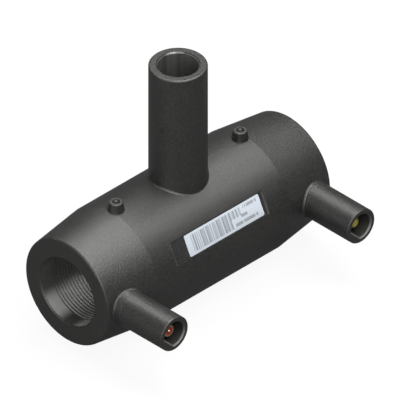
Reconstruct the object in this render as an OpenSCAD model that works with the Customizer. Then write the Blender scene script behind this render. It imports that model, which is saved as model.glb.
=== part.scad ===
// Electrofusion reducing tee: a moulded body with a socket at each end of its run, a plain spigot
// for the smaller branch pipe, and a heating wire that runs from one terminal to the other.
// The run lies along X, the branch points up Z, the terminals point along -Y, and the origin is
// where the run's axis and the branch's axis cross. All sizes are in millimetres.

/* [Run] */
// Length over the two end faces
run_len = 105; // [96:1:130]
// Outside diameter of the middle of the run
run_d = 44.7; // [42:0.1:52]
// Outside diameter at the end faces
face_d = 39.4; // [36:0.1:42]
// Length of the taper behind each end face
taper_len = 21.3; // [16:0.1:24]
// Radius on the outer edge of each end face
face_round = 0.8; // [0.4:0.1:1.5]

/* [Sockets] */
// Bore of the sockets that take the run pipe
socket_d = 25.4; // [25:0.1:26]
// Depth of each socket, from its end face to the pipe stop
socket_depth = 41; // [36:0.5:43]
// Lead-in chamfer at each socket's mouth
mouth_chamfer = 0.5; // [0.3:0.1:1]
// Bore of the passage between the two pipe stops
passage_d = 20.4; // [16:0.1:21]

/* [Fusion zone] */
// Plain wall between the end face and the first turn of the wire
cold_len = 5.7; // [4:0.1:8]
// Turns of heating wire in each socket
turns = 16; // [10:1:18]
// Distance from one turn to the next
turn_pitch = 1.28; // [1.1:0.01:1.4]
// Depth of the grooves between the ribs that cover the turns
groove_depth = 0.25; // [0.1:0.05:0.35]
// Width of each groove at the wall of the socket
groove_w = 0.44; // [0.3:0.02:0.48]

/* [Heating wire] */
// Diameter of the wire
wire_d = 0.7; // [0.5:0.05:0.8]
// Thickness of plastic between the wire and the bottom of the grooves
wire_cover = 0.15; // [0.1:0.05:0.4]
// Distance of the straight link between the two coils from the run's axis
link_r = 16; // [15:0.1:18]

/* [Branch] */
// Outside diameter of the branch spigot
spigot_d = 20; // [16:0.1:22]
// Bore of the branch spigot
spigot_bore = 14; // [10:0.1:15]
// Height of the spigot's mouth above the run's axis
spigot_top = 67.2; // [55:0.1:90]
// Radius of the fillet at the spigot's root
spigot_fillet = 1.1; // [0.6:0.1:2]
// Chamfer on the inner edge of the spigot's mouth
spigot_chamfer = 0.5; // [0.3:0.1:1]
// Radius on the outer edge of the spigot's mouth
spigot_round = 0.6; // [0.3:0.1:1]

/* [Terminals] */
// Distance from each end face to its terminal's axis
terminal_inset = 8.45; // [7.5:0.05:12]
// Outside diameter of the shrouds
shroud_d = 12.8; // [12:0.1:14]
// Bore of the shrouds
shroud_bore = 9; // [8.5:0.1:9.5]
// Distance from the run's axis to the shrouds' mouths
shroud_reach = 42.6; // [40:0.1:50]
// Depth of the shrouds' bores
shroud_depth = 14.6; // [12:0.1:16]
// Distance from each shroud's axis to the one flat side of its bore
key_flat = 3.4; // [3.2:0.05:4]
// Chamfer on the inner edge of the shrouds' mouths
shroud_chamfer = 0.5; // [0.3:0.1:0.8]
// Radius on the outer edge of the shrouds' mouths
shroud_round = 0.4; // [0.2:0.1:0.8]
// Radius of the fillets at the shrouds' roots
shroud_fillet = 1; // [0.5:0.1:1.2]
// Diameter of the terminal pins
pin_d = 4.7; // [4:0.05:4.75]
// Distance of the pins' tips below the shrouds' mouths
pin_setback = 2.6; // [2:0.1:3.7]
// Radius on the right pin's tip
pin_round = 1.7; // [0.5:0.1:2]
// Diameter of the flanges that anchor the pins in the plastic
anchor_d = 6.6; // [5.5:0.1:8]

/* [Coded terminal] */
// Diameter of the insulator in the tip of the left pin
insulator_d = 3.2; // [2.6:0.1:3.6]
// Diameter of the centre contact and of the resistor behind it
contact_d = 1.2; // [1:0.1:2]
// Depth of the insulator in the pin
insulator_depth = 9; // [7:0.5:11]
// Length of the centre contact
contact_len = 3.5; // [2.5:0.5:5]

/* [Melt indicators] */
// Distance from each end face to its indicator's axis
indicator_inset = 23.2; // [22:0.1:26]
// Diameter of each indicator's boss at its foot
boss_foot_d = 5.8; // [5.4:0.1:7]
// Diameter of each indicator's boss below its upper edge
boss_top_d = 4.9; // [4.4:0.1:5.2]
// Radius on the upper edge of each boss
boss_round = 0.4; // [0.2:0.1:0.6]
// Height of the boss above the run
boss_h = 3.3; // [2:0.1:5]
// Diameter of the hole in the boss
indicator_hole_d = 2.8; // [2.4:0.1:3]
// Clearance round each indicator pin
indicator_gap = 0.15; // [0.1:0.05:0.3]
// Depth of each indicator's shoulder below the top of the boss at rest
indicator_setback = 1.2; // [0.5:0.1:2]
// Diameter of each indicator's slender tip
indicator_tip_d = 1.1; // [0.8:0.1:1.6]
// Height of the tip above the top of the boss at rest
indicator_proud = 0.2; // [0:0.05:0.5]

/* [Label] */
// Length of the shallow flat that the label lies in
flat_len = 44; // [42:0.1:50]
// Width of the flat
flat_w = 8.6; // [8:0.1:12]
// Depth of the flat's floor below its upper and lower edges
flat_depth = 0.35; // [0.2:0.05:0.6]
// Height of the flat's middle round the run, in degrees above the terminals
flat_angle = 26.4; // [20:0.2:40]
// Length of the label
label_len = 35; // [25:0.1:38]
// Width of the label
label_w = 7.7; // [5:0.1:7.8]
// Radius on the label's corners
label_corner = 0.6; // [0.3:0.1:1.5]
// Thickness of the label
label_t = 0.15; // [0.1:0.05:0.3]
// Distance of the label's middle from the flat's middle, along the run
label_shift = 2.4; // [0:0.1:3]

/* [Hidden] */
$fn = 96;
LEFT = -1;
RIGHT = 1;
over = 1;
half_len = run_len / 2;
run_r = run_d / 2;
face_r = face_d / 2;
socket_r = socket_d / 2;
taper_angle = atan((run_r - face_r) / taper_len);

// The taper's radius where the terminals stand on it
terminal_x = half_len - terminal_inset;
terminal_seat = face_r + terminal_inset * tan(taper_angle);
shroud_r = shroud_d / 2;
pin_r = pin_d / 2;
pin_tip = shroud_reach - pin_setback;
shroud_floor = shroud_reach - shroud_depth;
key_turn = 225;

// The pins' roots end in the wall, just outside the coil
wire_r = wire_d / 2;
coil_r = socket_r + groove_depth + wire_cover + wire_r;
pin_root = coil_r + wire_r + 2.4;
pin_foot = 2;
flange_t = 1.2;
flange_pitch = 2.4;

// The spigot widens a little below a level that clears its fillet, as it leaves the mould there
spigot_r = spigot_d / 2;
draft_top = run_r + spigot_fillet + 0.4;
draft_w = 0.25;

indicator_x = half_len - indicator_inset;
indicator_top = run_r + boss_h;
indicator_floor = coil_r + wire_r + 0.8;
indicator_r = indicator_hole_d / 2 - indicator_gap;

flat_edge = sqrt(pow(run_r, 2) - pow(flat_w / 2, 2));
flat_floor = flat_edge - flat_depth;
flat_corner = 0.8;

BLACK_PLASTIC = [0.20, 0.20, 0.20];
INDICATOR_PLASTIC = [0.26, 0.26, 0.26];
COPPER = [0.72, 0.45, 0.28];
TIN = [0.80, 0.80, 0.78];
BRASS = [0.78, 0.66, 0.28];
RED_PLASTIC = [0.75, 0.17, 0.10];
RESISTOR_BROWN = [0.45, 0.33, 0.24];
LABEL_WHITE = [0.90, 0.93, 0.96];

function unit(v) = v / norm(v);

// Turns what is drawn up Z so that it points along the run
module along_run() {
    rotate([0, 90, 0]) children();
}

// Places what is drawn up Z on a terminal's axis, so that its height is the distance from the run's axis
module at_terminal(side) {
    translate([side * terminal_x, 0, 0]) rotate([90, 0, 0]) children();
}

module tube_space(r, z0, z1) {
    translate([0, 0, z0]) cylinder(r = r, h = z1 - z0);
}

// Barrel of the run, from face to face, with a round on the edge of each face
module barrel_profile() {
    round_r = face_r - face_round * (1 - sin(taper_angle)) / cos(taper_angle);
    round_z = half_len - face_round;
    on_taper = [round_r + face_round * cos(taper_angle), round_z + face_round * sin(taper_angle)];
    shoulder = [run_r, half_len - taper_len];
    polygon([
        [0, -half_len], [round_r, -half_len], [on_taper[0], -on_taper[1]], [shoulder[0], -shoulder[1]],
        shoulder, on_taper, [round_r, half_len], [0, half_len]
    ]);
    for (end = [-1, 1]) translate([round_r, end * round_z]) circle(r = face_round, $fn = 48);
}

module barrel() {
    along_run() rotate_extrude() barrel_profile();
}

// One socket's space, drawn from the passage out to the mouth: stop, grooved wall and chamfer
module socket_profile() {
    first = half_len - cold_len;
    grooves = [for (k = [0 : turns]) let (z = first - turns * turn_pitch + k * turn_pitch) each [
        [socket_r, z - groove_w / 2], [socket_r + groove_depth, z], [socket_r, z + groove_w / 2]
    ]];
    polygon(concat(
        [[0, half_len - socket_depth], [socket_r, half_len - socket_depth]],
        grooves,
        [[socket_r, half_len - mouth_chamfer], [socket_r + mouth_chamfer + over, half_len + over],
        [0, half_len + over]]
    ));
}

module socket_space(side) {
    rotate([0, side * 90, 0]) rotate_extrude() socket_profile();
}

// Fillet round a column that stands up Z on a body turned about X. A ball of the fillet's radius rolls round
// the foot, and is sunk a little into both so that the ring's edges cross them cleanly. body_r is the
// body's radius on the column's axis, and lean is the angle at which the body narrows towards +X.
FILLET_STEPS = 48;
ARC_STEPS = 4;

function slerp(a, b, t) = let (whole = acos(a * b)) (sin((1 - t) * whole) * a + sin(t * whole) * b) / sin(whole);

function ball_centre(column_r, body_r, lean, reach, phi) = let (
    x = (column_r + reach) * cos(phi),
    y = (column_r + reach) * sin(phi),
    from_axis = body_r - x * tan(lean) + reach / cos(lean)
) [x, y, sqrt(pow(from_axis, 2) - pow(y, 2))];

// One section of the ring: the ball's arc from column to body, then three corners buried in both
function fillet_section(column_r, body_r, lean, fillet, phi) = let (
    sunk = 0.06 * fillet,
    reach = fillet - sunk,
    buried = 0.5,
    c = ball_centre(column_r, body_r, lean, reach, phi),
    up = unit([0, c[1], c[2]]),
    to_column = [-cos(phi), -sin(phi), 0],
    to_body = -[sin(lean), cos(lean) * up[1], cos(lean) * up[2]],
    arc = [for (k = [0 : ARC_STEPS]) c + fillet * slerp(to_column, to_body, k / ARC_STEPS)]
) concat(arc, [
    c + (fillet + buried) * to_body,
    c + (fillet + buried) * (to_body + to_column),
    c + (fillet + buried) * to_column
]);

module root_fillet(column_r, body_r, lean, fillet) {
    corners = ARC_STEPS + 4;
    points = [for (k = [0 : FILLET_STEPS - 1])
        each fillet_section(column_r, body_r, lean, fillet, 360 * k / FILLET_STEPS)];
    faces = [for (k = [0 : FILLET_STEPS - 1], j = [0 : corners - 1]) let (
        a = k * corners,
        b = (k + 1) % FILLET_STEPS * corners,
        next = (j + 1) % corners
    ) each [[a + j, b + j, b + next], [a + j, b + next, a + next]]];
    polyhedron(points, faces, convexity = 6);
}

// Column from z0 to z1 with a round on its upper edge
module rounded_column(r, z0, z1, edge) {
    rotate_extrude() {
        translate([0, z0]) square([r, z1 - edge - z0]);
        translate([0, z0]) square([r - edge, z1 - z0]);
        translate([r - edge, z1 - edge]) circle(r = edge, $fn = 48);
    }
}

module spigot() {
    foot = passage_d / 2;
    rounded_column(spigot_r, foot, spigot_top, spigot_round);
    translate([0, 0, foot]) cylinder(r1 = spigot_r + draft_w, r2 = spigot_r, h = draft_top - foot);
    root_fillet(spigot_r + draft_w * (draft_top - run_r) / (draft_top - foot), run_r, 0, spigot_fillet);
}

module spigot_space() {
    bore_r = spigot_bore / 2;
    tube_space(bore_r, 0, spigot_top + over);
    translate([0, 0, spigot_top - spigot_chamfer])
        cylinder(r1 = bore_r, r2 = bore_r + spigot_chamfer + over, h = spigot_chamfer + over);
}

module shroud(side) {
    at_terminal(side) {
        rounded_column(shroud_r, coil_r + 1.4, shroud_reach, shroud_round);
        rotate([0, 0, side == LEFT ? 180 : 0]) root_fillet(shroud_r, terminal_seat, taper_angle, shroud_fillet);
    }
}

// Round bore with one flat side, which keys the connector and lies at the same turn in both shrouds.
// Its mouth is chamfered all round, along the flat too.
module shroud_space(side) {
    bore_r = shroud_bore / 2;
    above = shroud_reach + over;
    lead_in = shroud_reach - shroud_chamfer;
    at_terminal(side) difference() {
        union() {
            tube_space(bore_r, shroud_floor, above);
            translate([0, 0, lead_in])
                cylinder(r1 = bore_r, r2 = bore_r + shroud_chamfer + over, h = shroud_chamfer + over);
        }
        rotate([90, 0, key_turn]) linear_extrude(shroud_d, center = true) polygon([
            [key_flat, shroud_floor - over], [key_flat, lead_in],
            [key_flat + shroud_chamfer + 2 * over, above + over],
            [key_flat + shroud_r, above + over], [key_flat + shroud_r, shroud_floor - over]
        ]);
    }
}

module indicator_boss(side) {
    buried = indicator_floor + 2;
    foot_r = boss_foot_d / 2;
    top_r = boss_top_d / 2;
    round_z = indicator_top - boss_round;
    slope = (foot_r - top_r) / (round_z - run_r);
    translate([side * indicator_x, 0, 0]) rotate_extrude() {
        polygon([
            [0, buried], [foot_r + slope * (run_r - buried), buried], [top_r, round_z],
            [top_r - boss_round, indicator_top], [0, indicator_top]
        ]);
        translate([top_r - boss_round, round_z]) circle(r = boss_round, $fn = 32);
    }
}

module indicator_space(side) {
    translate([side * indicator_x, 0, 0])
        tube_space(indicator_hole_d / 2, indicator_floor, indicator_top + over);
}

// Places what is drawn on XY so that it faces out of the flat, at a distance from the run's axis
module on_flat(distance) {
    rotate([90 - flat_angle, 0, 0]) translate([0, 0, distance]) children();
}

module rounded_bar(length, width, corner) {
    square([length - 2 * corner, width], center = true);
    square([length, width - 2 * corner], center = true);
    for (x = [-1, 1], y = [-1, 1])
        translate([x * (length / 2 - corner), y * (width / 2 - corner)]) circle(r = corner, $fn = 32);
}

module label_flat() {
    on_flat(flat_floor) linear_extrude(run_r) rounded_bar(flat_len, flat_w, flat_corner);
}

module body() {
    color(BLACK_PLASTIC) difference() {
        union() {
            barrel();
            spigot();
            for (side = [LEFT, RIGHT]) {
                shroud(side);
                indicator_boss(side);
            }
        }
        for (side = [LEFT, RIGHT]) {
            socket_space(side);
            shroud_space(side);
            indicator_space(side);
            pin_blank(side);
        }
        along_run() tube_space(passage_d / 2, -half_len + socket_depth - over, half_len - socket_depth + over);
        spigot_space();
        label_flat();
    }
}

// A terminal pin without its tip's details: a foot for the wire, two anchor flanges, a root that fills its
// hole in the plastic, and a thinner shank that stands free in the shroud
module pin_blank(side) {
    foot_r = 0.7 * pin_r;
    root_r = pin_r + 0.3;
    tip_chamfer = 0.3;
    flange_z = pin_root + pin_foot;
    at_terminal(side) rotate_extrude() {
        polygon([
            [0, pin_root], [foot_r, pin_root], [foot_r, flange_z], [root_r, flange_z], [root_r, shroud_floor],
            [pin_r, shroud_floor], [pin_r, pin_tip - tip_chamfer], [pin_r - tip_chamfer, pin_tip], [0, pin_tip]
        ]);
        for (k = [0, 1]) translate([0, flange_z + k * flange_pitch]) square([anchor_d / 2, flange_t]);
    }
}

module terminal_pin_left() {
    color(TIN) difference() {
        pin_blank(LEFT);
        at_terminal(LEFT) tube_space(insulator_d / 2, pin_tip - insulator_depth, pin_tip + over);
    }
}

module terminal_pin_right() {
    color(BRASS) difference() {
        pin_blank(RIGHT);
        at_terminal(RIGHT) translate([0, 0, pin_tip - pin_round]) rotate_extrude() difference() {
            square([pin_r + over, pin_round + over]);
            square([pin_r - pin_round, pin_round]);
            translate([pin_r - pin_round, 0]) circle(r = pin_round, $fn = 48);
        }
    }
}

module contact_insulator() {
    color(RED_PLASTIC) at_terminal(LEFT) difference() {
        tube_space(insulator_d / 2, pin_tip - insulator_depth, pin_tip);
        tube_space(contact_d / 2, pin_tip - insulator_depth - over, pin_tip + over);
    }
}

// The contact ends in a dome that stands a little out of the insulator
module centre_contact() {
    proud = 0.4;
    dome_z = pin_tip + proud - contact_d / 2;
    color(TIN) at_terminal(LEFT) {
        tube_space(contact_d / 2, pin_tip - contact_len, dome_z);
        translate([0, 0, dome_z]) sphere(d = contact_d);
    }
}

module code_resistor() {
    color(RESISTOR_BROWN) at_terminal(LEFT)
        tube_space(contact_d / 2, pin_tip - insulator_depth, pin_tip - contact_len);
}

// A piston with a slender tip, which shows in the middle of the boss's hole
module melt_indicator(side) {
    color(INDICATOR_PLASTIC) translate([side * indicator_x, 0, 0]) {
        tube_space(indicator_r, indicator_floor, indicator_top - indicator_setback);
        tube_space(indicator_tip_d / 2, indicator_floor, indicator_top + indicator_proud);
    }
}

module melt_indicator_left() {
    melt_indicator(LEFT);
}

module melt_indicator_right() {
    melt_indicator(RIGHT);
}

module label() {
    color(LABEL_WHITE) on_flat(flat_floor) translate([label_shift, 0, 0])
        linear_extrude(label_t) rounded_bar(label_len, label_w, label_corner);
}

// Heating wire. Its route starts at the left pin's foot, spirals in to the left coil, follows the coil,
// spirals out to the link, and is the same again from the middle to the right pin, turned about Y.
COIL_STEPS = 20;
WIRE_SIDES = 6;
SPIRAL = 60;
SPIRAL_STEPS = 5;

function eased(t) = t * t * (3 - 2 * t);
function mixed(a, b, t) = a + (b - a) * t;
function on_route(x, r, angle) = [x, -r * cos(angle), r * sin(angle)];

coil_start = -(half_len - cold_len - turn_pitch / 2);
coil_sweep = 360 * turns - 2 * SPIRAL;
coil_end = coil_start + turn_pitch * coil_sweep / 360;
link_start = coil_end + 3;
coil_count = ceil(coil_sweep / 360 * COIL_STEPS);

lead_route = [for (k = [0 : SPIRAL_STEPS - 1]) let (t = k / SPIRAL_STEPS)
    on_route(mixed(-terminal_x, coil_start, eased(t)), mixed(pin_root + wire_r, coil_r, eased(t)), SPIRAL * t)];
coil_route = [for (k = [0 : coil_count]) let (t = k / coil_count)
    on_route(mixed(coil_start, coil_end, t), coil_r, SPIRAL + coil_sweep * t)];
tail_route = [for (k = [1 : SPIRAL_STEPS]) let (t = k / SPIRAL_STEPS)
    on_route(mixed(coil_end, link_start, t * t), mixed(coil_r, link_r, eased(t)), SPIRAL * (t - 1))];
half_route = concat(lead_route, coil_route, tail_route);
half_count = len(half_route);
route = concat(half_route,
    [for (k = [half_count - 1 : -1 : 0]) let (p = half_route[k]) [-p[0], p[1], -p[2]]]);

function wire_ring(k) = let (
    last = len(route) - 1,
    along = unit(route[min(k + 1, last)] - route[max(k - 1, 0)]),
    outward = unit([0, route[k][1], route[k][2]]),
    side = unit(cross(along, outward)),
    up = cross(side, along)
) [for (s = [0 : WIRE_SIDES - 1]) let (a = 360 * s / WIRE_SIDES)
    route[k] + wire_r * (cos(a) * side + sin(a) * up)];

module heating_wire() {
    rings = len(route);
    points = [for (k = [0 : rings - 1]) each wire_ring(k)];
    walls = [for (k = [0 : rings - 2], s = [0 : WIRE_SIDES - 1])
        let (a = k * WIRE_SIDES + s, b = k * WIRE_SIDES + (s + 1) % WIRE_SIDES)
        each [[a, b, b + WIRE_SIDES], [a, b + WIRE_SIDES, a + WIRE_SIDES]]];
    first_cap = [for (s = [WIRE_SIDES - 1 : -1 : 0]) s];
    last_cap = [for (s = [0 : WIRE_SIDES - 1]) (rings - 1) * WIRE_SIDES + s];
    color(COPPER) polyhedron(points, concat(walls, [first_cap, last_cap]), convexity = 10);
}

body();
heating_wire();
terminal_pin_left();
terminal_pin_right();
contact_insulator();
centre_contact();
code_resistor();
melt_indicator_left();
melt_indicator_right();
label();
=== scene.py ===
"""Electrofusion reducing tee on a pale floor: a black moulded body, two shrouded terminals, two melt
indicators and a printed label. Sizes are in metres. The run lies along X, the branch points up Z and the
terminals point along -Y."""
import math

import bpy
from mathutils import Matrix, Vector


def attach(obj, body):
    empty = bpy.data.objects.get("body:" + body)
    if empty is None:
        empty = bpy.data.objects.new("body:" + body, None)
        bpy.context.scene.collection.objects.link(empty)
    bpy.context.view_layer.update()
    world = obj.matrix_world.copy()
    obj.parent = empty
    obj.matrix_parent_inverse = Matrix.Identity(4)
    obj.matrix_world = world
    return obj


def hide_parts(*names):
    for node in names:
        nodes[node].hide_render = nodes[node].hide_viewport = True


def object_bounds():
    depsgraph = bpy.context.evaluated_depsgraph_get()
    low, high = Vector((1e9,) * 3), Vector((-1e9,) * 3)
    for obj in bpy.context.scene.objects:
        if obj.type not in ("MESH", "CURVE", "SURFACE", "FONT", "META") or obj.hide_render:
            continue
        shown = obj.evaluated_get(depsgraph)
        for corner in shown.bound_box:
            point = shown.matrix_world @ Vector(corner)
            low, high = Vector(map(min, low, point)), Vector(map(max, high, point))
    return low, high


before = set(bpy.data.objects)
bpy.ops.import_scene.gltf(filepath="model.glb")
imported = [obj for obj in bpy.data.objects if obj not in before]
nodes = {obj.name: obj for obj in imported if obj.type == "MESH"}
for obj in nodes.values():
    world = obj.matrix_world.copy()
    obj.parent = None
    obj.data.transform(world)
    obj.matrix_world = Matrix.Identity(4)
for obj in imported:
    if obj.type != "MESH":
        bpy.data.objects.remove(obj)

cad_box = [list(corner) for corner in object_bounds()]

MM = 0.001
LEFT = -1
RIGHT = 1

# Outer sizes of the tee, from its frame
HALF_LEN = cad_box[1][0]
RUN_R = -cad_box[0][2]
SPIGOT_TOP = cad_box[1][2]
SHROUD_MOUTH_Y = cad_box[0][1]

# Places on the body, as distances from the middle of the run or from a bore's axis
SOCKET_R = 12.7 * MM
SOCKET_FLOOR_X = 11.5 * MM
FIRST_GROOVE_X = 46.8 * MM
GROOVE_PITCH = 1.28 * MM
GROOVE_DEPTH = 0.25 * MM
GROOVE_TURNS = 16
TAPER_X = 31.2 * MM
SPIGOT_BORE_R = 7 * MM
SPIGOT_BORE_Z = 9 * MM
TERMINAL_X = 44.05 * MM
SHROUD_BORE_R = 4.5 * MM
SHROUD_FLOOR_Y = -28 * MM
INDICATOR_X = 29.3 * MM
INDICATOR_HOLE_R = 1.4 * MM
INDICATOR_HOLE_Z = 16 * MM
BOSS_FOOT_R = 2.9 * MM
BOSS_TOP = RUN_R + 3.3 * MM
BOSS_ROUND = 0.4 * MM

# Chamfer on the inner edges of all mouths
CHAMFER = 0.5 * MM
# How far a place in the finish reaches past its edge, and how far it stays behind a mouth's flat face
MARGIN = 0.05 * MM
FACE_MARGIN = 0.02 * MM
# The barrel's outer wall lies between these distances from the run's axis, and columns stand beyond it
BARREL_WALL = (14 * MM, 23 * MM)
# The side of each groove rises to the rib between these distances from the groove's middle
RIB_SIDE = (0.14 * MM, 0.36 * MM)
# Between these depths in a socket, the painted light on its walls changes from the deep tone to the one near
# the mouth
PAINTED_LIGHT_DEPTHS = (20 * MM, 6 * MM)
# The coarse grain of the tapers ends this far from the end faces
COARSE_END = 0.5 * MM

# The shallow flat on the barrel, and the label in it
FLAT_END_X = 22 * MM
FLAT_END_W = 0.7 * MM
FLAT_TILT = math.radians(90 - 26.4)
FLAT_FLOOR = 21.582 * MM
LABEL_SIZE = (35 * MM, 7.7 * MM, 0.15 * MM)
LABEL_SHIFT = 2.4 * MM
LABEL_CORNER = 0.6 * MM
LABEL_CORNER_STEPS = 8
LABEL_RIM = 0.04 * MM
LABEL_RIM_STEPS = 3
SMOOTH_ANGLE = math.radians(35)

# The label's print: columns along it, then the places of the bars and of the rows of short blocks, each
# as its start and end along the label and up it, in shares of the label's length and width
BAR_COLUMNS = 84
BLOCK_COLUMNS = 74
TALL_BARS = ((0.075, 0.60), (0.12, 0.90))
SHORT_BARS = ((0.60, 0.745), (0.52, 0.90))
BLOCK_ROWS = [((0.775, 0.955), (0.76, 0.90)), ((0.72, 0.81), (0.42, 0.56)), ((0.635, 0.93), (0.15, 0.29))]

# Colours: each pair is the darker and the lighter shade that a finish varies between
BODY_BLACK = ((0.001, 0.001, 0.001, 1), (0.028, 0.028, 0.028, 1))
INDICATOR_BLACK = ((0.010, 0.010, 0.010, 1), (0.016, 0.016, 0.016, 1))
TINNED_BRASS = ((0.70, 0.44, 0.31, 1), (0.88, 0.60, 0.45, 1))
BRIGHT_CONTACT = ((0.90, 0.82, 0.76, 1), (0.98, 0.94, 0.90, 1))
PLAIN_BRASS = ((0.94, 0.79, 0.12, 1), (1.0, 0.93, 0.27, 1))
INSULATOR_RED = ((0.36, 0.026, 0.010, 1), (0.54, 0.052, 0.018, 1))
WIRE_COPPER = ((0.48, 0.25, 0.14, 1), (0.62, 0.36, 0.22, 1))
RESISTOR_TAN = ((0.33, 0.20, 0.10, 1), (0.42, 0.27, 0.14, 1))
LABEL_PAPER = ((0.62, 0.675, 0.765, 1), (0.69, 0.74, 0.835, 1))
LABEL_INK = (0.22, 0.24, 0.27, 1)

# The middle of each of the resistor's bands along Y, with the band's colour
BAND_WIDTH = 0.5 * MM
RESISTOR_BANDS = [
    (-35.8 * MM, (0.03, 0.02, 0.01, 1)),
    (-34.8 * MM, (0.45, 0.05, 0.02, 1)),
    (-33.8 * MM, (0.60, 0.18, 0.02, 1)),
    (-32.3 * MM, (0.55, 0.42, 0.12, 1)),
]

# Painted light: greys paler than the body's own black that stand in for light on places in shade, namely the
# sockets' ribs near the mouth and deep inside, the bores and the flat's end wall, the shrouds' insides, and
# the painted highlight on the shrouds' mouth chamfers
RIB_PAINTED_LIGHT = 0.43
DEEP_RIB_PAINTED_LIGHT = 0.88
RECESS_PAINTED_LIGHT = 0.08
TERMINAL_PAINTED_LIGHT = 0.025
TERMINAL_EDGE_PAINTED_HIGHLIGHT = 0.14

# The floor's width, its own grey and its glow, then the world's light on the tee, and the share of the pale
# background that reflections show
FLOOR_SIZE = 6
FLOOR_TONE = 0.07
FLOOR_GLOW = 0.92
WORLD_LIGHT = 0.03
REFLECTED_SHARE = 0.10

# The lamps' colour, then each one's name, direction from the tee, distance, width, height and power
LAMP_COLOUR = (1, 1, 0.965)
LAMPS = [
    ("front_softbox", (0.17, -0.47, 0.86), 0.9, 0.75, 0.36, 3.9),
    ("top_softbox", (0.16, 0.01, 0.985), 0.9, 0.75, 0.50, 4.05),
    ("rear_softbox", (0.18, 0.28, 0.93), 0.9, 0.75, 0.26, 3.8),
    ("camera_softbox", (-0.64, -0.62, 0.46), 1.2, 0.7, 0.7, 5.2),
    ("edge_softbox", (-0.41, -0.41, 0.81), 1.0, 0.70, 0.30, 1.9),
    ("left_softbox", (-0.98, -0.05, 0.18), 1.2, 0.5, 0.4, 2.6),
]

# The view: its direction, the picture's width and scale in pixels, and the pixel that shows the point where
# the tee's axes cross
VIEW_AZIMUTH = -44.906
VIEW_ELEVATION = 35.376
PICTURE_WIDTH = 400
PIXELS_PER_METRE = 2990.4
TEE_PIXEL = (178.054, 228.118)
CAMERA_DISTANCE = 2


# Shader nodes

def math_operator(operation, swapped=False):
    """An operator for Amount that adds a Math node. Swapped, it takes the amount as the second value."""
    def add_node(amount, other):
        values = (other, amount) if swapped else (amount, other)
        return amount.math(operation, *values)
    return add_node


class Amount:
    """A number that varies over a surface. Arithmetic on it adds Math nodes."""

    def __init__(self, owner, socket):
        self.owner = owner
        self.socket = socket

    def math(self, operation, *values):
        return self.owner.amount("ShaderNodeMath", {"operation": operation}, dict(enumerate(values)))

    __add__ = math_operator("ADD")
    __radd__ = math_operator("ADD", swapped=True)
    __sub__ = math_operator("SUBTRACT")
    __rsub__ = math_operator("SUBTRACT", swapped=True)
    __mul__ = math_operator("MULTIPLY")
    __rmul__ = math_operator("MULTIPLY", swapped=True)
    __truediv__ = math_operator("DIVIDE")
    __pow__ = math_operator("POWER")
    __gt__ = math_operator("GREATER_THAN")
    __lt__ = math_operator("LESS_THAN")

    def size(self):
        return self.math("ABSOLUTE", self)

    def floor(self):
        return self.math("FLOOR", self)

    def sine(self):
        return self.math("SINE", self)

    def larger(self, other):
        return self.math("MAXIMUM", self, other)

    def distance(self, other):
        return (self * self + other * other) ** 0.5

    def angle(self, other):
        return self.math("ARCTAN2", self, other)

    def from_nearest(self, pitch):
        """Distance from the nearest whole multiple of pitch."""
        return self.math("PINGPONG", self, pitch / 2)

    def ramp(self, low, high, start=0.0, end=1.0):
        """start below low, end above high, and a smooth change between them."""
        return self.owner.amount("ShaderNodeMapRange", {"interpolation_type": "SMOOTHSTEP"},
            {0: self, 1: low, 2: high, 3: start, 4: end})

    def inside(self, low, high):
        """1 between low and high, and 0 elsewhere."""
        return (self > low) * (self < high)


class NodeTree:
    """Makes the nodes of a material or of the world."""

    def __init__(self, tree):
        self.tree = tree

    def fill(self, node, inputs):
        """Gives each socket its value, or links it where the value is an amount or another socket."""
        for key, value in inputs.items():
            if isinstance(value, Amount):
                value = value.socket
            if isinstance(value, bpy.types.NodeSocket):
                self.tree.links.new(value, node.inputs[key])
            else:
                node.inputs[key].default_value = value

    def node(self, kind, settings=None, inputs=None):
        made = self.tree.nodes.new(kind)
        for name, value in (settings or {}).items():
            setattr(made, name, value)
        self.fill(made, inputs or {})
        return made

    def amount(self, kind, settings, inputs):
        return Amount(self, self.node(kind, settings, inputs).outputs[0])

    def camera_sees(self, lit, seen):
        """A strength that is lit for light on the tee, and seen for what the camera sees directly or through
        glass. Reflections show a share of the way from lit to seen."""
        path = self.node("ShaderNodeLightPath").outputs
        directly = Amount(self, path["Is Camera Ray"])
        through = Amount(self, path["Is Transmission Ray"])
        mirrored = Amount(self, path["Is Glossy Ray"]) * REFLECTED_SHARE
        return lit + (seen - lit) * directly.larger(through).larger(mirrored)


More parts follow.
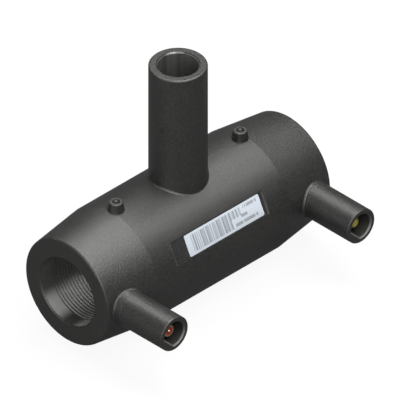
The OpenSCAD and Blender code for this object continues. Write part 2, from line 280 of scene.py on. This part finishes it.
class Finish(NodeTree):
    """A material on one Principled shader. Constants are set on the shader's own sockets, and x, y and z are
    the place on the tee."""

    def __init__(self, name, **constants):
        self.material = bpy.data.materials.new(name)
        self.material.use_nodes = True
        super().__init__(self.material.node_tree)
        self.shader = self.tree.nodes["Principled BSDF"]
        self.fill(self.shader, {socket.replace("_", " "): value for socket, value in constants.items()})
        self.place = self.node("ShaderNodeTexCoord").outputs["Object"]
        apart = self.node("ShaderNodeSeparateXYZ", {}, {0: self.place})
        self.x, self.y, self.z = (Amount(self, socket) for socket in apart.outputs)

    def noise(self, size, detail, roughness, place=None):
        """Noise from 0 to 1 whose lumps are about that size in metres."""
        return self.amount("ShaderNodeTexNoise", {}, {
            "Vector": place or self.place, "Scale": 1 / size, "Detail": detail, "Roughness": roughness})

    def squeezed(self, shares):
        """The place with each direction multiplied by its share, so that noise on it runs in streaks."""
        made = self.node("ShaderNodeVectorMath", {"operation": "MULTIPLY"}, {0: self.place, 1: shares})
        return made.outputs[0]

    def chance(self, number, seed):
        """A number from 0 to 1 for each whole number."""
        return self.amount("ShaderNodeTexWhiteNoise", {"noise_dimensions": "1D"}, {"W": number + seed})

    def mix(self, factor, first, second):
        """The first colour where factor is 0, and the second where it is 1."""
        return self.node("ShaderNodeMix", {"data_type": "RGBA"}, {0: factor, 6: first, 7: second}).outputs[2]

    def surface(self, colour, roughness, height, depth):
        """Sets what varies. The relief has that depth in metres, where height goes from 0 to 1."""
        relief = self.node("ShaderNodeBump", {}, {"Strength": 1.0, "Distance": depth, "Height": height})
        self.fill(self.shader, {"Base Color": colour, "Roughness": roughness, "Normal": relief.outputs[0]})
        return self


def grey(value):
    return (value, value, value, 1)


# Finishes

class BodyPlaces:
    """Places on the body that its finish treats in their own way. Each is 1 there and 0 elsewhere, and some
    fade between the two."""

    def __init__(self, made):
        along = made.x.size()
        from_run = made.y.distance(made.z)
        from_branch = made.x.distance(made.y)
        from_terminal = (along - TERMINAL_X).distance(made.z)
        from_indicator = (along - INDICATOR_X).distance(made.y)

        self.socket = from_run < SOCKET_R + GROOVE_DEPTH + MARGIN
        self.socket *= along.inside(SOCKET_FLOOR_X + 2 * MARGIN, HALF_LEN - CHAMFER - MARGIN)
        last_groove_x = FIRST_GROOVE_X - GROOVE_TURNS * GROOVE_PITCH
        self.grooved = along.inside(last_groove_x - 0.3 * GROOVE_PITCH, FIRST_GROOVE_X + 0.3 * MM)
        from_groove = (FIRST_GROOVE_X - along).from_nearest(GROOVE_PITCH)
        self.rib = self.grooved * from_groove.ramp(*RIB_SIDE)
        self.near_mouth = along.ramp(HALF_LEN - PAINTED_LIGHT_DEPTHS[0], HALF_LEN - PAINTED_LIGHT_DEPTHS[1])

        # The spigot's bore, with the inner part of its chamfer
        self.branch = (from_branch < SPIGOT_BORE_R + 0.3 * MM) * (made.z > SPIGOT_BORE_Z)
        self.spigot_edge = from_branch < SPIGOT_BORE_R + CHAMFER + 2 * MARGIN
        self.spigot_edge *= made.z.inside(SPIGOT_TOP - CHAMFER - MARGIN, SPIGOT_TOP - FACE_MARGIN)

        behind_edge_y = SHROUD_MOUTH_Y + CHAMFER + MARGIN
        self.terminal = from_terminal < SHROUD_BORE_R + 2 * MARGIN
        self.terminal *= made.y.inside(behind_edge_y, SHROUD_FLOOR_Y + 1 * MM)
        self.terminal_edge = from_terminal < SHROUD_BORE_R + CHAMFER + 2 * MARGIN
        self.terminal_edge *= made.y.inside(SHROUD_MOUTH_Y + FACE_MARGIN, behind_edge_y)
        # Painted highlight: the chamfer's pale tone is full at the bottom of the mouth and a quarter of that
        # at the top
        self.terminal_edge *= made.z.ramp(-2.5 * MM, 2 * MM, 1, 0.25)

        self.hole = (from_indicator < INDICATOR_HOLE_R + MARGIN) * (made.z > INDICATOR_HOLE_Z)
        self.boss_wall = from_indicator < BOSS_FOOT_R + 4 * MARGIN
        self.boss_wall *= made.z.inside(RUN_R + 2 * MARGIN, BOSS_TOP - BOSS_ROUND + MARGIN)

        self.flat_end = along.inside(FLAT_END_X - FLAT_END_W, FLAT_END_X + MARGIN)
        self.flat_end *= from_run.inside(FLAT_FLOOR - MARGIN, RUN_R - 2 * MARGIN)
        self.taper = along.inside(TAPER_X, HALF_LEN - COARSE_END) * from_run.inside(*BARREL_WALL)
        self.shroud = made.y < -BARREL_WALL[1]
        self.spigot = made.z > BARREL_WALL[1]


def socket_painted_light_share(made, places):
    """How much of the painted light on the sockets' walls shows: most low on the walls, less right at the
    bottom, little in the upper part, and none in the grooves, which keep the body's own black. The angle is
    -90 degrees at the bottom and 90 at the top."""
    angle = made.z.angle(made.y.size())
    # Painted light, strongest on the lower part of each socket wall and faded towards the top
    ribs = places.grooved * angle.ramp(math.radians(-95), math.radians(-62), 0.65, 1)
    plain = (1 - places.grooved) * angle.ramp(math.radians(-84), math.radians(-62), 0.10, 1)
    lower = angle.ramp(math.radians(-46), math.radians(-22), 1, 0.14)
    return places.socket * lower * (ribs + plain) * (1 - places.grooved + places.rib)


def moulded_plastic(name, shades, sheen, roughness, grain_depth):
    """Black polyethylene as it leaves the mould: fine grain, faint flow marks and a slightly uneven sheen.
    Painted light makes the sockets' lower walls paler, most of all the ribs, and makes the spigot's bore, the
    indicator holes, the shrouds' insides and the flat's end wall paler than the black, with painted
    reflection streaks in the bores and a painted highlight on the lower part of the shrouds' mouth chamfers.
    The edge of the spigot's mouth, the sockets and the bosses' walls are smoother."""
    made = Finish(name, Specular_IOR_Level=sheen, IOR=1.6)
    places = BodyPlaces(made)
    fine = made.noise(0.5 * MM, 3, 0.6)
    flow = made.noise(9 * MM, 2, 0.5)
    # Streaks of painted reflection along the walls of the bores
    painted_bore_streaks = made.noise(3.2 * MM, 1, 0.5, made.squeezed((1, 1, 0.03))).ramp(0.3, 0.7, 0.55, 1.4)

    colour = made.mix(0.3 * flow + 0.7 * fine.ramp(0.36, 0.64), *shades)
    # Painted light on the sockets' walls, paler deep inside than near the mouth
    painted_socket_light = made.mix(places.near_mouth, grey(DEEP_RIB_PAINTED_LIGHT), grey(RIB_PAINTED_LIGHT))
    colour = made.mix(socket_painted_light_share(made, places), colour, painted_socket_light)
    # Painted light with painted reflection streaks on the walls of the spigot's bore and the indicator holes
    colour = made.mix((places.branch + places.hole) * painted_bore_streaks, colour, grey(RECESS_PAINTED_LIGHT))
    # Painted light inside the shrouds, and a painted highlight on the lower part of their mouth chamfers
    colour = made.mix(places.terminal, colour, grey(TERMINAL_PAINTED_LIGHT))
    colour = made.mix(places.terminal_edge, colour, grey(TERMINAL_EDGE_PAINTED_HIGHLIGHT))
    # Painted light on the flat's end wall, which lies in shade
    colour = made.mix(places.flat_end, colour, grey(RECESS_PAINTED_LIGHT))

    rough = roughness + 0.10 * (flow - 0.5) + 0.20 * (fine - 0.5)
    rough = rough - 0.26 * places.spigot_edge - 0.12 * places.socket - 0.17 * places.boss_wall
    grain = 0.60 + 0.6 * places.taper + 0.35 * places.spigot - 0.4 * places.shroud - 0.4 * places.socket
    height = fine * (1 - places.spigot_edge) * grain + 0.35 * places.socket * places.rib
    return made.surface(colour, rough, height, grain_depth)


def turned_metal(name, shades, roughness, pitch, side):
    """Metal pin turned on a lathe: rings round its axis on the tip, and along its length on the shank."""
    made = Finish(name, Metallic=1.0)
    from_axis = (made.x - side * TERMINAL_X).distance(made.z)
    rings = ((from_axis - made.y) * (2 * math.pi / pitch)).sine() * 0.5 + 0.5
    stain = made.noise(1.1 * MM, 3, 0.6)
    rough = roughness + 0.14 * (stain - 0.5) + 0.08 * rings
    return made.surface(made.mix(stain, *shades), rough, rings * 0.6 + stain * 0.4, 0.006 * MM)


def red_insulator():
    made = Finish("red_insulator", Specular_IOR_Level=0.5)
    fine = made.noise(0.25 * MM, 2, 0.5)
    return made.surface(made.mix(fine, *INSULATOR_RED), 0.34 + 0.12 * fine, fine, 0.004 * MM)


def resistance_wire():
    made = Finish("resistance_wire", Metallic=1.0)
    drawn = made.noise(0.2 * MM, 2, 0.5)
    return made.surface(made.mix(drawn, *WIRE_COPPER), 0.28 + 0.16 * drawn, drawn, 0.003 * MM)


def resistor_coat():
    """Tan lacquer with the four bands that give a resistor's value."""
    made = Finish("resistor_coat", Specular_IOR_Level=0.5)
    lacquer = made.noise(0.3 * MM, 2, 0.5)
    colour = made.mix(lacquer, *RESISTOR_TAN)
    for middle, band in RESISTOR_BANDS:
        colour = made.mix(made.y.inside(middle - BAND_WIDTH / 2, middle + BAND_WIDTH / 2), colour, band)
    return made.surface(colour, 0.3 + 0.1 * lacquer, lacquer, 0.004 * MM)


def printed_film():
    """White film printed with plain bars and short blocks, laid out along the label (u) and up it (v)."""
    made = Finish("printed_film", Specular_IOR_Level=0.5)
    length, width, _ = LABEL_SIZE
    u = (made.x - (LABEL_SHIFT - length / 2)) / length
    v = (made.y * math.cos(FLAT_TILT) + made.z * math.sin(FLAT_TILT)) / width + 0.5
    paper = made.noise(0.5 * MM, 3, 0.6)
    patchy = 0.42 + 0.55 * made.noise(0.45 * MM, 2, 0.6)

    def area(along, up):
        return u.inside(*along) * v.inside(*up)

    bar = (u * BAR_COLUMNS).floor()
    bars = (made.chance(bar, 3.0) < 0.58) * (0.55 + 0.8 * made.chance(bar, 8.0))
    ink = bars * (area(*TALL_BARS) + area(*SHORT_BARS))
    block = (u * BLOCK_COLUMNS).floor()
    for row, row_area in enumerate(BLOCK_ROWS):
        ink = ink + (made.chance(block, 11.0 + 7 * row) > 0.24) * area(*row_area)
    ink = ink * patchy

    colour = made.mix(ink, made.mix(paper, *LABEL_PAPER), LABEL_INK)
    return made.surface(colour, 0.38 + 0.16 * paper + 0.1 * ink, paper, 0.004 * MM)


# Camera, light and floor

def facing(azimuth, elevation):
    """Right, up and back of a camera at that azimuth and elevation. Azimuth 0 looks along +Y."""
    a, e = math.radians(azimuth), math.radians(elevation)
    right = Vector((math.cos(a), math.sin(a), 0))
    back = Vector((math.sin(a) * math.cos(e), -math.cos(a) * math.cos(e), math.sin(e)))
    return right, back.cross(right), back


def place_camera():
    right, up, back = facing(VIEW_AZIMUTH, VIEW_ELEVATION)
    aim_right = (PICTURE_WIDTH / 2 - TEE_PIXEL[0]) / PIXELS_PER_METRE
    aim_up = (TEE_PIXEL[1] - PICTURE_WIDTH / 2) / PIXELS_PER_METRE
    data = bpy.data.cameras.new("camera")
    data.type, data.ortho_scale = "ORTHO", PICTURE_WIDTH / PIXELS_PER_METRE
    data.clip_start, data.clip_end = 0.1, 50
    camera = bpy.data.objects.new("camera", data)
    bpy.context.collection.objects.link(camera)
    turn = Matrix((right, up, back)).transposed().to_4x4()
    camera.matrix_world = Matrix.Translation(right * aim_right + up * aim_up + back * CAMERA_DISTANCE) @ turn
    bpy.context.scene.camera = camera


def softbox(name, towards, distance, width, height, power):
    """A rectangular lamp in that direction from the tee, turned to face it, with its width level."""
    data = bpy.data.lights.new(name, "AREA")
    data.shape, data.size, data.size_y, data.energy = "RECTANGLE", width, height, power
    data.color = LAMP_COLOUR
    lamp = bpy.data.objects.new(name, data)
    bpy.context.collection.objects.link(lamp)
    towards = Vector(towards).normalized()
    lamp.location = towards * distance
    lamp.rotation_euler = towards.to_track_quat("Z", "Y").to_euler()


def pale_world():
    world = bpy.data.worlds.new("pale_world")
    bpy.context.scene.world = world
    world.use_nodes = True
    made = NodeTree(world.node_tree)
    background = world.node_tree.nodes["Background"]
    made.fill(background, {"Color": grey(1), "Strength": made.camera_sees(WORLD_LIGHT, 1.0)})


def pale_floor(level):
    """A dark matt floor that takes the tee's shadow, with a glow that makes it pale to the camera."""
    bpy.ops.mesh.primitive_plane_add(size=FLOOR_SIZE, location=(0, 0, level))
    floor = bpy.context.object
    floor.name = "floor"
    bpy.ops.object.transform_apply(location=True, rotation=True, scale=True)
    material = bpy.data.materials.new("pale_floor")
    material.use_nodes = True
    material.node_tree.nodes.clear()
    made = NodeTree(material.node_tree)
    matt = made.node("ShaderNodeBsdfDiffuse", {}, {"Color": grey(FLOOR_TONE)})
    glow = made.node("ShaderNodeEmission", {}, {"Strength": made.camera_sees(0.0, FLOOR_GLOW)})
    both = made.node("ShaderNodeAddShader", {}, {0: matt.outputs[0], 1: glow.outputs[0]})
    made.node("ShaderNodeOutputMaterial", {}, {"Surface": both.outputs[0]})
    floor.data.materials.append(material)


# Pieces

def paint(name, finish):
    """Gives a CAD node its finish."""
    piece = nodes[name]
    if not piece.material_slots:
        piece.data.materials.append(None)
    for slot in piece.material_slots:
        slot.material = finish.material


def label_film(finish):
    """The label: a thin plate with round corners and a fine round on its upper edge, in the body's flat."""
    bpy.ops.object.select_all(action="DESELECT")
    length, width, thickness = LABEL_SIZE
    bpy.ops.mesh.primitive_cube_add(size=1, location=(0, 0, 0), scale=(length, width, thickness))
    film = bpy.context.object
    film.name = "label_film"
    bpy.ops.object.transform_apply(location=False, rotation=False, scale=True)

    corners = film.modifiers.new("corners", "BEVEL")
    corners.limit_method, corners.width, corners.segments = "WEIGHT", LABEL_CORNER, LABEL_CORNER_STEPS
    weight = film.data.attributes.new("bevel_weight_edge", "FLOAT", "EDGE")
    for edge in film.data.edges:
        a, b = (film.data.vertices[v].co for v in edge.vertices)
        weight.data[edge.index].value = 1.0 if abs(a.z - b.z) > thickness / 2 else 0.0
    bpy.ops.object.modifier_apply(modifier="corners")

    rim = film.modifiers.new("rim", "BEVEL")
    rim.limit_method, rim.width, rim.segments = "ANGLE", LABEL_RIM, LABEL_RIM_STEPS
    bpy.ops.object.modifier_apply(modifier="rim")

    middle = FLAT_FLOOR + thickness / 2
    film.matrix_world = Matrix.Rotation(FLAT_TILT, 4, "X") @ Matrix.Translation((LABEL_SHIFT, 0, middle))
    bpy.ops.object.transform_apply(location=True, rotation=True, scale=True)
    bpy.ops.object.shade_smooth_by_angle(angle=SMOOTH_ANGLE)
    film.data.materials.append(finish.material)
    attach(film, "fitting")
    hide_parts("label")


bpy.context.scene.view_settings.view_transform = "Standard"
place_camera()
pale_world()
pale_floor(cad_box[0][2])
for lamp in LAMPS:
    softbox(*lamp)

paint("body", moulded_plastic("body_polyethylene", BODY_BLACK, sheen=0.80, roughness=0.46,
    grain_depth=0.14 * MM))
indicator_finish = moulded_plastic("indicator_polyethylene", INDICATOR_BLACK, sheen=0.35, roughness=0.70,
    grain_depth=0.012 * MM)
paint("melt_indicator_left", indicator_finish)
paint("melt_indicator_right", indicator_finish)
paint("terminal_pin_left", turned_metal("tinned_brass", TINNED_BRASS, roughness=0.32,
    pitch=0.16 * MM, side=LEFT))
paint("centre_contact", turned_metal("bright_contact", BRIGHT_CONTACT, roughness=0.24,
    pitch=0.12 * MM, side=LEFT))
paint("terminal_pin_right", turned_metal("plain_brass", PLAIN_BRASS, roughness=0.32,
    pitch=0.16 * MM, side=RIGHT))
paint("contact_insulator", red_insulator())
paint("code_resistor", resistor_coat())
paint("heating_wire", resistance_wire())
label_film(printed_film())
